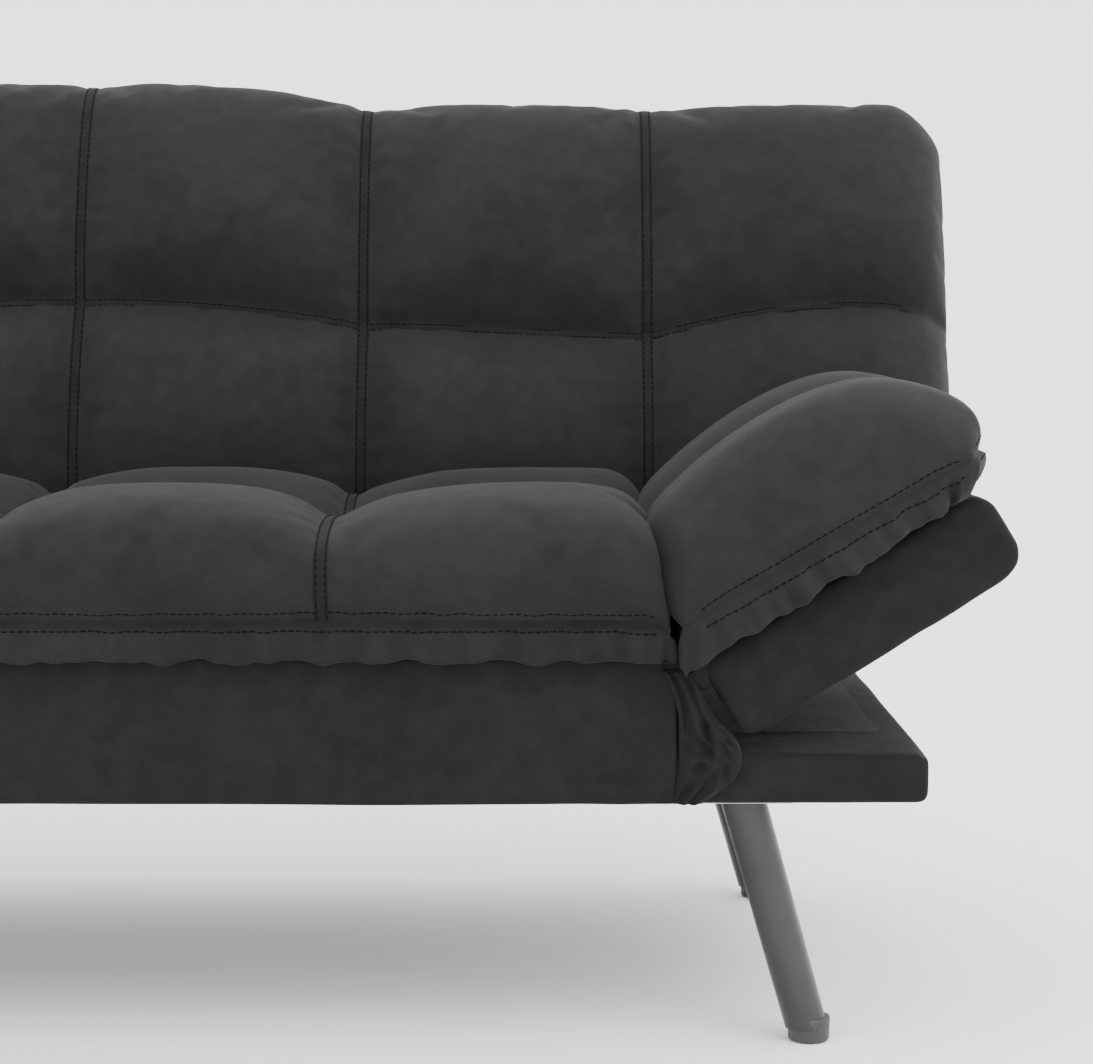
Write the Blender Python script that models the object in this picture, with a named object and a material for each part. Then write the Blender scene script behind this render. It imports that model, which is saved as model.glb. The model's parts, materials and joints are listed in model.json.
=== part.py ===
"""Click-clack futon sofa bed with two folding arms, in metres, +Z up, +Y to the back.

The origin is on the floor at the centre of the footprint. The seat is part of the base;
the backrest and both arms are hinged panels that fold down flat to make a bed.
"""

import math

import bmesh
import bpy
from mathutils import Matrix, Vector

# Driving dimensions
GAP = 0.0003  # clearance between pieces that touch
FRONT = -0.380  # front of the seat pad
BASE_BOTTOM = 0.222
BASE_HEIGHT = 0.045
BASE_HALF_WIDTH = 0.808
BASE_SETBACK = 0.024  # base front face behind the pad front
BASE_DEPTH = 0.736
BASE_WRAP = 0.120  # fabric turned over the base top at the front and the rear
SIDE_WRAP = 0.030
CORNER_RADIUS = 0.012

PANEL_HEIGHT = 0.083  # seat, arm and back panels all have this thickness
PANEL_LIFT = 0.0015  # running clearance between a folded panel and the base
SKIN = 0.003  # fabric and wadding over a panel
TIMBER = 0.025
BASE_TIMBER = 0.0325  # the base rails are thicker than the panel rails
PLYWOOD = 0.012
FILM = 0.0005  # a hair of room under or over a thin layer
EDGE = 0.001  # the same at the edge of a board or a pad
WADDING = 0.0015  # between the covers and the rails
CUT = 0.010  # how far a cutter runs past what it opens
DUST_CLOTH = 0.0015

SEAT_HALF_WIDTH = 0.592
SEAT_DEPTH = 0.522
PAD_HEIGHT = 0.125
PAD_FLOOR = 0.0055  # pad underside above its panel
PAD_END_ROOM = 0.006  # between the seat pad's underside and the panel's ends
PAD_REAR_ROOM = 0.011
SEAT_SEAM = 0.040  # height of the widest part of the seat pad over its underside
ARM_SEAM = 0.030
BACK_SEAM = 0.045
PAD_START = 0.012  # the arm and back pads begin this far outside their hinge axes
ARM_OVERHANG = 0.024  # the arm pad past the end of its panel
PAD_TUCK = 0.004
BACK_OVERHANG = 0.012
BAND_RISE = 0.012  # height at which a pad's side turns upright
PAD_ROUNDING = 0.010
BACK_PAD_ROUNDING = 0.012
CROWN_INSET = 0.030  # the flat top of a pad ends this far in from its sides
SEAT_CROWN_INSET = 0.035
ARM_CROWN_INSET = 0.045
SEAT_CROSS_RAIL = 0.367  # its front face, behind the pad front

PIVOT_DROP = 0.006  # hinge axes below the panel tops
ARM_HINGE_X = 0.617
ARM_START = -0.008  # the arm's covered edge, inside its hinge axis
ARM_LENGTH = 0.277
ARM_DEPTH = 0.400
ARM_ANGLE = math.radians(32)
ARM_PAD_DEPTH = 0.423
BACK_HINGE_Y = 0.530  # behind the pad front
BACK_LENGTH = 0.512
BACK_HALF_WIDTH = 0.900
BACK_ANGLE = math.radians(73)
PANEL_START = 0.008  # panel edge outside its hinge axis
BOTTOM_RAIL_END = 0.042

ARM_MITRE = math.radians(27)  # end slopes that leave room for the folding pads
SEAT_END_MITRE = math.radians(25)
BACK_MITRE = math.radians(39.5)

STRAP = 0.003
STRAP_RADIUS = 0.010
STUD_RADIUS = 0.004
STUD_CLEARANCE = 0.0004
ARM_STRAP_REACH = 0.125
BACK_STRAP_REACH = 0.130
STRAP_ROOM = 0.004  # beside a strap, in a rail or the deck
DECK_NOTCH = 0.021
PLATE_REACH = 0.120  # the click-clack plate: its length in front of the hinge axis,
PLATE_BEHIND = 0.006  # behind it,
PLATE_LOW = 0.048  # and its lower and upper edges below it
PLATE_HIGH = 0.014
LUG_RADIUS = 0.0075
LUG_DROP = 0.030

LEG_TOP_X = 0.653
LEG_FOOT_X = 0.716
LEG_FRONT_Y = 0.090  # behind the pad front
LEG_REAR_Y = 0.660
LEG_TOP_RADIUS = 0.0205
LEG_FOOT_RADIUS = 0.0190
FOOT_HEIGHT = 0.012
FOOT_WAIST = 0.0065  # the widest part of a foot, below the end of its leg
SOLE_LENGTH = 0.016  # half sizes of the flat underside
SOLE_WIDTH = 0.015
LEG_PLATE = 0.080
LEG_PLATE_THICKNESS = 0.003
LEG_SIDES = 24

# Worked out from the driving dimensions
BASE_TOP = BASE_BOTTOM + BASE_HEIGHT
PANEL_TOP = BASE_TOP + PANEL_HEIGHT
PANEL_BOTTOM = BASE_TOP + PANEL_LIFT
PIVOT_Z = PANEL_TOP - PIVOT_DROP
LOCAL_TOP = PIVOT_DROP
LOCAL_BOTTOM = PANEL_BOTTOM - PIVOT_Z
BASE_FRONT = FRONT + BASE_SETBACK
BASE_REAR = BASE_FRONT + BASE_DEPTH
SEAT_FRONT = FRONT + 0.020
SEAT_REAR = FRONT + SEAT_DEPTH
PIVOT_Y = FRONT + BACK_HINGE_Y

MATERIALS = {
    "suede": ((0.040, 0.039, 0.042), 0.85, 0.0),
    "suede_pad": ((0.050, 0.049, 0.053), 0.88, 0.0),
    "nonwoven": ((0.030, 0.030, 0.032), 0.95, 0.0),
    "timber": ((0.550, 0.400, 0.240), 0.70, 0.0),
    "plywood": ((0.600, 0.450, 0.280), 0.75, 0.0),
    "leg_metal": ((0.060, 0.060, 0.066), 0.35, 0.6),
    "foot_plastic": ((0.020, 0.020, 0.020), 0.55, 0.0),
    "hinge_steel": ((0.350, 0.350, 0.360), 0.40, 1.0),
}


def clear_scene():
    for obj in list(bpy.data.objects):
        bpy.data.objects.remove(obj, do_unlink=True)


def material(name):
    found = bpy.data.materials.get(name)
    if found:
        return found
    colour, roughness, metallic = MATERIALS[name]
    made = bpy.data.materials.new(name)
    made.use_nodes = True
    shader = made.node_tree.nodes["Principled BSDF"]
    shader.inputs["Base Color"].default_value = (*colour, 1.0)
    shader.inputs["Roughness"].default_value = roughness
    shader.inputs["Metallic"].default_value = metallic
    return made


def add_object(name, shape, slot, parent=None):
    """Turns a bmesh, in the parent's frame, into an object with its material."""
    bmesh.ops.recalc_face_normals(shape, faces=shape.faces)
    mesh = bpy.data.meshes.new(name)
    shape.to_mesh(mesh)
    shape.free()
    obj = bpy.data.objects.new(name, mesh)
    obj.data.materials.append(material(slot))
    bpy.context.scene.collection.objects.link(obj)
    obj.parent = parent
    return obj


def hull_shape(points):
    shape = bmesh.new()
    for point in points:
        shape.verts.new(point)
    made = bmesh.ops.convex_hull(shape, input=shape.verts)
    unused = [v for v in made["geom_interior"] if isinstance(v, bmesh.types.BMVert)]
    bmesh.ops.delete(shape, geom=unused, context="VERTS")
    flat = math.radians(1)
    bmesh.ops.dissolve_limit(shape, angle_limit=flat, verts=shape.verts, edges=shape.edges)
    return shape


def box_points(low, high):
    return [(x, y, z) for x in (low[0], high[0]) for y in (low[1], high[1]) for z in (low[2], high[2])]


def mirrored(low, high, side):
    """The box on the right (side 1), or its mirror image on the left (side -1)."""
    if side > 0:
        return low, high
    return (-high[0], low[1], low[2]), (-low[0], high[1], high[2])


def add_box(name, low, high, slot, parent=None, side=1, bevel=0.0):
    obj = add_object(name, hull_shape(box_points(*mirrored(low, high, side))), slot, parent)
    if bevel:
        add_bevel(obj, bevel)
    return obj


def add_bevel(obj, width, segments=2):
    modifier = obj.modifiers.new("round", "BEVEL")
    modifier.width = width
    modifier.segments = segments
    modifier.limit_method = "ANGLE"


def round_edges(shape, edges, radius):
    bmesh.ops.bevel(shape, geom=edges, offset=radius, segments=3, profile=0.5, affect="EDGES")


def upright_edges(shape):
    return [e for e in shape.edges if abs((e.verts[0].co - e.verts[1].co).normalized().z) > 0.99]


def circle_angles(sides):
    return [math.tau * i / sides for i in range(sides)]


def cutter(name, shape, parent=None):
    obj = add_object(name, shape, "timber", parent)
    obj.hide_render = True
    obj.display_type = "WIRE"
    return obj


def boolean(obj, other, operation="DIFFERENCE"):
    modifier = obj.modifiers.new(other.name, "BOOLEAN")
    modifier.operation = operation
    modifier.object = other


def add_tray(name, low, high, inner_low, inner_high, slot, side=1):
    """A skin of fabric: a box with a smaller box taken out, open wherever that one is longer."""
    obj = add_object(name, hull_shape(box_points(*mirrored(low, high, side))), slot)
    hollow = hull_shape(box_points(*mirrored(inner_low, inner_high, side)))
    boolean(obj, cutter(name + "_hollow", hollow))


def disc(centre, radius, along, length, sides=20):
    """Points of a short cylinder along the axis of index along."""
    across = [i for i in range(3) if i != along]
    points = []
    for end in (0.0, length):
        for i in range(sides):
            angle = math.tau * i / sides
            point = list(centre)
            point[along] += end
            point[across[0]] += radius * math.cos(angle)
            point[across[1]] += radius * math.sin(angle)
            points.append(point)
    return points


def hinge_frame(name, place, axis, angle):
    """An empty on a hinge axis, turned to the panel's rest angle."""
    empty = bpy.data.objects.new(name, None)
    bpy.context.scene.collection.objects.link(empty)
    empty.matrix_world = Matrix.Translation(place) @ Matrix.Rotation(angle, 4, axis)
    return empty


def make_base():
    """The low slab: four rails in fabric covers, closed above and below with cloth."""
    inner_front = BASE_FRONT + BASE_WRAP
    inner_rear = BASE_REAR - BASE_WRAP
    low, high = BASE_BOTTOM, BASE_TOP
    wide = BASE_HALF_WIDTH
    for name, y0, y1, h0, h1 in (
        ("base_cover_front", BASE_FRONT, inner_front, BASE_FRONT + SKIN, inner_front + CUT),
        ("base_cover_rear", inner_rear, BASE_REAR, inner_rear - CUT, BASE_REAR - SKIN),
    ):
        shape = hull_shape(box_points((-wide, y0, low), (wide, y1, high)))
        outer_y = y0 if name.endswith("front") else y1
        outer = [e for e in upright_edges(shape) if abs(e.verts[0].co.y - outer_y) < FILM]
        round_edges(shape, outer, CORNER_RADIUS)
        cover = add_object(name, shape, "suede")
        hollow = hull_shape(
            box_points((-wide + SKIN, h0, low + SKIN), (wide - SKIN, h1, high - SKIN))
        )
        round_edges(hollow, upright_edges(hollow), CORNER_RADIUS - SKIN)
        boolean(cover, cutter(name + "_hollow", hollow))
    rail_low, rail_high = low + SKIN + GAP, high - SKIN - GAP
    front_rail = BASE_FRONT + SKIN + GAP
    rear_rail = BASE_REAR - SKIN - GAP
    for side, label in ((-1, "left"), (1, "right")):
        add_tray(
            "base_cover_" + label,
            (wide - SIDE_WRAP, inner_front + GAP, low),
            (wide, inner_rear - GAP, high),
            (wide - SIDE_WRAP - CUT, inner_front - CUT, low + SKIN),
            (wide - SKIN, inner_rear + CUT, high - SKIN),
            "suede",
            side=side,
        )
        add_box(
            "base_side_rail_" + label,
            (wide - SKIN - TIMBER, front_rail + GAP + BASE_TIMBER, rail_low),
            (wide - SKIN - GAP, rear_rail - GAP - BASE_TIMBER, rail_high),
            "timber",
            side=side,
        )
    rail_half = wide - SKIN - CORNER_RADIUS
    for name, y in (("base_front_rail", front_rail), ("base_rear_rail", rear_rail - BASE_TIMBER)):
        add_box(name, (-rail_half, y, rail_low), (rail_half, y + BASE_TIMBER, rail_high), "timber")
    cloth_half = wide - SIDE_WRAP - GAP
    add_box(
        "base_top_cloth",
        (-cloth_half, inner_front + GAP, high - SKIN),
        (cloth_half, inner_rear - GAP, high - FILM),
        "nonwoven",
    )
    add_box(
        "base_dust_cloth",
        (-cloth_half, inner_front + GAP, low + FILM),
        (cloth_half, inner_rear - GAP, low + FILM + DUST_CLOTH),
        "nonwoven",
    )


def ring(centre, axis, radius):
    """Points on a circle round an axis."""
    across = axis.cross(Vector((0, 1, 0))).normalized()
    other = axis.cross(across).normalized()
    return [
        centre + radius * (math.cos(a) * across + math.sin(a) * other)
        for a in circle_angles(LEG_SIDES)
    ]


def make_legs():
    """Splayed tapered metal legs on plates, with plastic feet cut flat on the floor."""
    plate_low = BASE_BOTTOM - GAP - LEG_PLATE_THICKNESS
    leg_top = plate_low - GAP
    for end, y in (("front", FRONT + LEG_FRONT_Y), ("rear", FRONT + LEG_REAR_Y)):
        for side, label in ((-1, "left"), (1, "right")):
            name = end + "_" + label
            top = Vector((side * LEG_TOP_X, y, leg_top))
            floor = Vector((side * LEG_FOOT_X, y, 0.0))
            axis = (floor - top).normalized()
            shin = floor - axis * (FOOT_HEIGHT + LEG_FOOT_RADIUS * abs(axis.x))
            slant = 1 / abs(axis.z)
            crown = [
                top + LEG_TOP_RADIUS * Vector((slant * math.cos(a), math.sin(a), 0))
                for a in circle_angles(LEG_SIDES)
            ]
            shape = hull_shape(crown + ring(shin, axis, LEG_FOOT_RADIUS))
            leg = add_object("leg_" + name, shape, "leg_metal")
            leg.data.shade_smooth()
            leg.data.set_sharp_from_angle(angle=math.radians(40))
            sole = [
                floor + Vector((SOLE_LENGTH * math.cos(a) - side * EDGE, SOLE_WIDTH * math.sin(a), 0))
                for a in circle_angles(LEG_SIDES)
            ]
            waist = ring(shin + axis * FOOT_WAIST, axis, LEG_FOOT_RADIUS + FILM)
            neck = ring(shin + axis * GAP, axis, LEG_FOOT_RADIUS)
            add_object("foot_" + name, hull_shape(neck + waist + sole), "foot_plastic")
            half = LEG_PLATE / 2
            add_box(
                "leg_plate_" + name,
                (LEG_TOP_X - half, y - half, plate_low),
                (LEG_TOP_X + half, y + half, plate_low + LEG_PLATE_THICKNESS),
                "hinge_steel",
                side=side,
            )


def make_seat():
    """The fixed seat: a timber frame with a plywood deck, its fabric cover and the pad."""
    low = PANEL_BOTTOM + FILM
    half = SEAT_HALF_WIDTH - SKIN - GAP
    front = SEAT_FRONT + SKIN + WADDING
    under_straps = PIVOT_Z - STRAP_RADIUS - WADDING
    deck_low, deck_high = PANEL_TOP - PLYWOOD, PANEL_TOP - EDGE
    cross = FRONT + SEAT_CROSS_RAIL
    add_box("seat_front_rail", (-half, front, low), (half, front + TIMBER - FILM, deck_high), "timber")
    side_front = front + TIMBER
    for side, label in ((-1, "left"), (1, "right")):
        add_box(
            "seat_side_rail_" + label,
            (half - TIMBER, side_front, low),
            (half, SEAT_REAR - EDGE, under_straps),
            "timber",
            side=side,
        )
    inner = half - TIMBER - 2 * STRAP - 5 * GAP
    add_box("seat_hinge_rail", (-inner, cross, low), (inner, cross + TIMBER, deck_low - GAP), "timber")
    rear = SEAT_REAR - EDGE
    add_box("seat_rear_rail", (-inner, SEAT_REAR - TIMBER, low), (inner, rear, deck_low - GAP), "timber")
    deck_rear = PIVOT_Y - STRAP_RADIUS - EDGE
    deck = add_box("seat_deck", (-half, side_front, deck_low), (half, deck_rear, deck_high), "plywood")
    notch_start = ARM_HINGE_X - ARM_STRAP_REACH - STRAP_ROOM
    for end, y in (("front", side_front - CUT), ("rear", cross + TIMBER - STRAP_ROOM / 2)):
        for side, label in ((-1, "left"), (1, "right")):
            low_corner = (notch_start, y, deck_low - CUT)
            high_corner = (half + CUT, y + DECK_NOTCH, PANEL_TOP + CUT)
            shape = hull_shape(box_points(*mirrored(low_corner, high_corner, side)))
            boolean(deck, cutter("seat_deck_notch_" + end + "_" + label, shape))
    cover = add_box(
        "seat_cover",
        (-SEAT_HALF_WIDTH, SEAT_FRONT, BASE_BOTTOM + FILM),
        (SEAT_HALF_WIDTH, SEAT_REAR, PANEL_TOP),
        "suede",
    )
    shape = hull_shape(box_points(
        (-SEAT_HALF_WIDTH + SKIN, SEAT_FRONT + SKIN, BASE_BOTTOM - CUT),
        (SEAT_HALF_WIDTH - SKIN, SEAT_REAR + CUT, PANEL_TOP + CUT),
    ))
    boolean(cover, cutter("seat_cover_hollow", shape))
    for name, z0, z1 in (
        ("below", BASE_BOTTOM - 2 * CUT, PANEL_BOTTOM),
        ("above", under_straps, PANEL_TOP + 2 * CUT),
    ):
        shape = hull_shape(box_points(
            (-SEAT_HALF_WIDTH - CUT, SEAT_FRONT + SKIN, z0),
            (SEAT_HALF_WIDTH + CUT, SEAT_REAR + 2 * CUT, z1),
        ))
        boolean(cover, cutter("seat_cover_" + name, shape))
    floor, top = PANEL_TOP + PAD_FLOOR, PANEL_TOP + PAD_HEIGHT
    rise = top - floor
    end_slope, rear_slope = math.tan(SEAT_END_MITRE), math.tan(BACK_MITRE)
    wide = SEAT_HALF_WIDTH - PAD_END_ROOM
    rear = PIVOT_Y - PAD_REAR_ROOM
    points = box_points((-wide, FRONT + BAND_RISE, floor), (wide, rear, floor + EDGE))
    seam_wide = wide - SEAT_SEAM * end_slope
    points += box_points(
        (-seam_wide, FRONT, floor + BAND_RISE),
        (seam_wide, rear - SEAT_SEAM * rear_slope, floor + SEAT_SEAM),
    )
    top_wide = wide - rise * end_slope
    points += box_points(
        (-top_wide, FRONT + SEAT_CROWN_INSET, top - EDGE), (top_wide, rear - rise * rear_slope, top)
    )
    pad = add_object("seat_pad", hull_shape(points), "suede_pad")
    add_bevel(pad, PAD_ROUNDING)


def strap_shape(centre, along, across, reach):
    """A flat strap with a round end on the pivot: a hull in the plane of its two directions."""
    start = Vector(centre)
    points = []
    for i in range(13):
        a = math.pi / 2 + math.pi * i / 12
        points.append(start + STRAP_RADIUS * (math.cos(a) * along + math.sin(a) * across))
    for offset in (-STRAP_RADIUS, STRAP_RADIUS):
        points.append(start + reach * along + offset * across)
    normal = along.cross(across)
    return hull_shape([p + normal * e for p in points for e in (0.0, STRAP)])


def add_strap(name, centre, along, across, reach, parent=None, stud=None, hole=None):
    """One strap of a hinge, with its rivet stud joined on or its hole cut out."""
    strap = add_object(name, strap_shape(centre, along, across, reach), "hinge_steel", parent)
    if stud:
        rivet = hull_shape(stud)
        boolean(strap, cutter(name + "_rivet", rivet, parent), "UNION")
    if hole:
        boolean(strap, cutter(name + "_hole", hull_shape(hole), parent))
    return strap


def make_arm(side, label):
    """A folding arm: three rails, the fabric cover, the pad and the outer half of two hinges."""
    axis = Vector((0, -side, 0))
    frame = hinge_frame("arm_frame_" + label, (side * ARM_HINGE_X, 0, PIVOT_Z), axis, ARM_ANGLE)
    length, start = ARM_LENGTH, ARM_START
    y0, y1 = SEAT_FRONT, SEAT_FRONT + ARM_DEPTH
    low, high = LOCAL_BOTTOM, LOCAL_TOP
    shape_low, shape_high = mirrored((start, y0, low), (length, y1, high), side)
    cover = add_object("arm_cover_" + label, hull_shape(box_points(shape_low, shape_high)), "suede", frame)
    hollow_low = (start - 2 * CUT, y0 + SKIN, low + SKIN)
    hollow_high = (length - SKIN, y1 - SKIN, high + CUT)
    hollow = hull_shape(box_points(*mirrored(hollow_low, hollow_high, side)))
    boolean(cover, cutter("arm_cover_hollow_" + label, hollow, frame))
    rail_low, rail_high = low + SKIN + GAP, high - 2 * EDGE
    strap_front = SEAT_FRONT + SKIN + WADDING + TIMBER + STRAP + 2 * GAP
    strap_rear = FRONT + SEAT_CROSS_RAIL + TIMBER + STRAP + 2 * GAP
    rail_end = length - SKIN - GAP
    clear = STRAP_RADIUS + STRAP_ROOM
    add_box(
        "arm_front_rail_" + label,
        (clear, y0 + SKIN + GAP, rail_low),
        (rail_end, strap_front - GAP, rail_high),
        "timber", frame, side,
    )
    add_box(
        "arm_rear_rail_" + label,
        (clear, strap_rear + STRAP + GAP, rail_low),
        (rail_end, y1 - SKIN - GAP, rail_high),
        "timber", frame, side,
    )
    add_box(
        "arm_outer_rail_" + label,
        (rail_end - TIMBER, strap_front + STRAP + GAP, rail_low),
        (rail_end, strap_rear - GAP, rail_high),
        "timber", frame, side,
    )
    floor, top = LOCAL_TOP + PAD_FLOOR, LOCAL_TOP + PAD_HEIGHT
    rise = top - floor
    slope, pad_rear = math.tan(ARM_MITRE), FRONT + ARM_PAD_DEPTH
    points = box_points(
        (PAD_START, FRONT + PAD_ROUNDING, floor), (length + ARM_OVERHANG / 2, pad_rear - PAD_TUCK, floor + EDGE)
    )
    points += box_points(
        (PAD_START + ARM_SEAM * slope, FRONT, floor + BAND_RISE),
        (length + ARM_OVERHANG, pad_rear, floor + ARM_SEAM),
    )
    points += box_points(
        (PAD_START + rise * slope, FRONT + CROWN_INSET, top - EDGE),
        (length - ARM_CROWN_INSET, pad_rear - 2 * CUT, top),
    )
    shape = hull_shape([(side * x, y, z) for x, y, z in points])
    pad = add_object("arm_pad_" + label, shape, "suede_pad", frame)
    add_bevel(pad, PAD_ROUNDING)
    for end, y in (("front", strap_front), ("rear", strap_rear)):
        fixed_y = y - STRAP - GAP
        outward = Vector((side, 0, 0))
        up = Vector((0, 0, side))
        name = "arm_hinge_%s_" + end + "_" + label
        pivot = Vector((side * ARM_HINGE_X, fixed_y, PIVOT_Z))
        stud = disc((pivot.x, fixed_y + EDGE, pivot.z), STUD_RADIUS, 1, 2 * STRAP + GAP)
        # across x along points to +Y on both sides, so each strap grows backwards from its y
        inner_end = (pivot.x, fixed_y + STRAP, pivot.z)
        add_strap(name % "fixed", inner_end, -outward, -up, ARM_STRAP_REACH, stud=stud)
        hole = disc((0, y - CUT, 0), STUD_RADIUS + STUD_CLEARANCE, 1, 3 * CUT)
        add_strap(name % "moving", (0, y + STRAP, 0), outward, up, ARM_STRAP_REACH, frame, hole=hole)


def make_back():
    """The backrest: a timber frame, the fabric cover, the pad and the moving halves of the hinges."""
    frame = hinge_frame("back_frame", (0, PIVOT_Y, PIVOT_Z), Vector((1, 0, 0)), BACK_ANGLE)
    low, high = LOCAL_BOTTOM, LOCAL_TOP
    wide, length = BACK_HALF_WIDTH, BACK_LENGTH
    shape = hull_shape(box_points((-wide, PANEL_START, low), (wide, length, high)))
    cover = add_object("back_cover", shape, "suede", frame)
    hollow = box_points((-wide + SKIN, -2 * CUT, low + SKIN), (wide - SKIN, length - SKIN, high + CUT))
    boolean(cover, cutter("back_cover_hollow", hull_shape(hollow), frame))
    rail_low, rail_high = low + SKIN + GAP, high - 2 * EDGE
    half = wide - SKIN - GAP
    top = length - SKIN - GAP
    bottom_end = BOTTOM_RAIL_END
    add_box("back_top_rail", (-half, top - TIMBER, rail_low), (half, top, rail_high), "timber", frame)
    add_box(
        "back_bottom_rail",
        (-half, PANEL_START + 2 * EDGE, rail_low),
        (half, bottom_end, -STRAP_RADIUS - 2 * EDGE),
        "timber", frame,
    )
    stile_x = SEAT_HALF_WIDTH - SKIN - GAP - TIMBER - STRAP - 2 * GAP
    for side, label in ((-1, "left"), (1, "right")):
        for name, x in (("back_side_stile_", half), ("back_hinge_stile_", stile_x - STRAP - GAP)):
            add_box(
                name + label,
                (x - TIMBER, bottom_end + GAP, rail_low),
                (x, top - TIMBER - GAP, rail_high),
                "timber", frame, side,
            )
        make_click_clack(side, label, frame, stile_x)
    floor, pad_top = LOCAL_TOP + PAD_FLOOR, LOCAL_TOP + PAD_HEIGHT
    rise = pad_top - floor
    start, slope, tuck = PAD_START, math.tan(BACK_MITRE), PAD_TUCK
    points = box_points((-wide + tuck, start, floor), (wide - tuck, length + tuck, floor + EDGE))
    points += box_points(
        (-wide, start + BACK_SEAM * slope, floor + CUT), (wide, length + BACK_OVERHANG, floor + BACK_SEAM)
    )
    crown_wide = wide - CROWN_INSET
    points += box_points(
        (-crown_wide, start + rise * slope, pad_top - EDGE), (crown_wide, length - CROWN_INSET, pad_top)
    )
    pad = add_object("back_pad", hull_shape(points), "suede_pad", frame)
    add_bevel(pad, BACK_PAD_ROUNDING)


def make_click_clack(side, label, frame, x):
    """One reclining hinge: a plate on the seat side rail, with its stud, and a strap on the back."""
    inner = x - STRAP
    outline = [
        (PIVOT_Y + y, PIVOT_Z - drop)
        for y in (-PLATE_REACH, PLATE_BEHIND) for drop in (PLATE_LOW, PLATE_HIGH)
    ]
    fixed_x = x + GAP
    shape = hull_shape([(side * (fixed_x + e), y, z) for y, z in outline for e in (0.0, STRAP)])
    plate = add_object("click_clack_fixed_" + label, shape, "hinge_steel")
    lug = [
        (PIVOT_Y + LUG_RADIUS * math.cos(a), PIVOT_Z + LUG_RADIUS * math.sin(a))
        for a in circle_angles(24)[:13]
    ]
    lug += [(PIVOT_Y - LUG_RADIUS, PIVOT_Z - LUG_DROP), (PIVOT_Y + PLATE_BEHIND, PIVOT_Z - LUG_DROP)]
    lug_shape = hull_shape([(side * (fixed_x + e), y, z) for y, z in lug for e in (0.0, STRAP)])
    boolean(plate, cutter("click_clack_lug_" + label, lug_shape), "UNION")
    low_x = min(side * (inner - EDGE), side * (fixed_x + EDGE))
    length = fixed_x - inner + 2 * EDGE
    stud = hull_shape(disc((low_x, PIVOT_Y, PIVOT_Z), STUD_RADIUS, 0, length))
    boolean(plate, cutter("click_clack_stud_" + label, stud), "UNION")
    hole = disc((side * x - 2 * CUT, 0, 0), STUD_RADIUS + STUD_CLEARANCE, 0, 4 * CUT)
    # along x across points to +X, so the strap grows outwards from its start on the right
    start = inner if side > 0 else -x
    up_panel, off_panel = Vector((0, 1, 0)), Vector((0, 0, 1))
    name = "click_clack_moving_" + label
    add_strap(name, (start, 0, 0), up_panel, off_panel, BACK_STRAP_REACH, frame, hole=hole)


clear_scene()
make_base()
make_legs()
make_seat()
for arm_side, arm_label in ((-1, "left"), (1, "right")):
    make_arm(arm_side, arm_label)
make_back()
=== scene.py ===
"""The looks of the futon sofa bed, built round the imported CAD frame."""

import json
import math

import bmesh
import bpy
import numpy as np
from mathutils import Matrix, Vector, noise as noise_field
from mathutils.bvhtree import BVHTree


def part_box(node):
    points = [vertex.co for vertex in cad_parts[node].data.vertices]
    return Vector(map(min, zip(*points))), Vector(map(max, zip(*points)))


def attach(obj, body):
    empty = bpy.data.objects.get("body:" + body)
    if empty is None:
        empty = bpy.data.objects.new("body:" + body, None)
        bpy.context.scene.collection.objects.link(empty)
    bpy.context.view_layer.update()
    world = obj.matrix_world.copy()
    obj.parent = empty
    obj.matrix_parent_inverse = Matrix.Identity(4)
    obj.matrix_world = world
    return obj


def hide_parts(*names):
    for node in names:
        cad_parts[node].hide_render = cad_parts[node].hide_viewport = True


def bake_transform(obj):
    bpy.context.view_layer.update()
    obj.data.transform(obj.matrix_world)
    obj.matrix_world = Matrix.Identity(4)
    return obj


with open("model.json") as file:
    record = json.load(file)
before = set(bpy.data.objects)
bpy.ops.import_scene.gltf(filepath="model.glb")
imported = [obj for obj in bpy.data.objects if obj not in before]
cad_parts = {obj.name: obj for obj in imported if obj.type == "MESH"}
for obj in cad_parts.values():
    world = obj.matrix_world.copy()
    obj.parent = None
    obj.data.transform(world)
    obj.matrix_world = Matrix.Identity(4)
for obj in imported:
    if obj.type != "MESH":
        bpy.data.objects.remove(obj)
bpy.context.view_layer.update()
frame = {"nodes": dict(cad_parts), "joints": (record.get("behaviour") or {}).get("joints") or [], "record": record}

JOINTS = {joint["name"]: joint for joint in frame["joints"]}
BACK_PIVOT = Vector(JOINTS["back_recline"]["pos_m"])
ARM_PIVOT = Vector(JOINTS["arm_fold_right"]["pos_m"])
BACK_REST = math.radians(-JOINTS["back_recline"]["range_deg"][0])
ARM_REST = math.radians(-JOINTS["arm_fold_right"]["range_deg"][0])
APRON_LOW, APRON_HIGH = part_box("seat_cover")
BASE_LOW, BASE_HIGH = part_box("base_cover_front")
BACK_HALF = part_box("back_cover")[1].x
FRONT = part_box("seat_pad")[0].y  # front of the pads
PANEL_TOP = APRON_HIGH.z  # top of the seat panel
COLUMN = 0.292  # one quilted column
STRIP = 0.0065  # half the width of a taped seam
CELL = 0.0078  # mesh spacing of the quilted cloth
PUCKER = 0.0022  # depth of the little folds beside a seam
PUCKER_REACH = 0.018  # how far they run out
SEAM_SEED, SEAM_CLEAR, SEAM_WAVE = 40, 0.004, 0.034  # puckers beside a taped seam: seed, gap, longest
ROW_SEED, ROW_CLEAR, ROW_WAVE = 60, 0.007, 0.036  # the same beside a row seam or an edge
WAVE_FALL, WAVE_FADE, WAVE_GAIN = 0.72, 0.85, 1.6  # a ripple's next wave: length and height; final gain
SIDES = ((-1, "left"), (1, "right"))


# ---- shape helpers

def lengths_along(line):
    """Distance from the start of an open line to each of its points."""
    steps = np.linalg.norm(np.diff(line, axis=0), axis=1)
    return np.concatenate([[0], np.cumsum(steps)])


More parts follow.
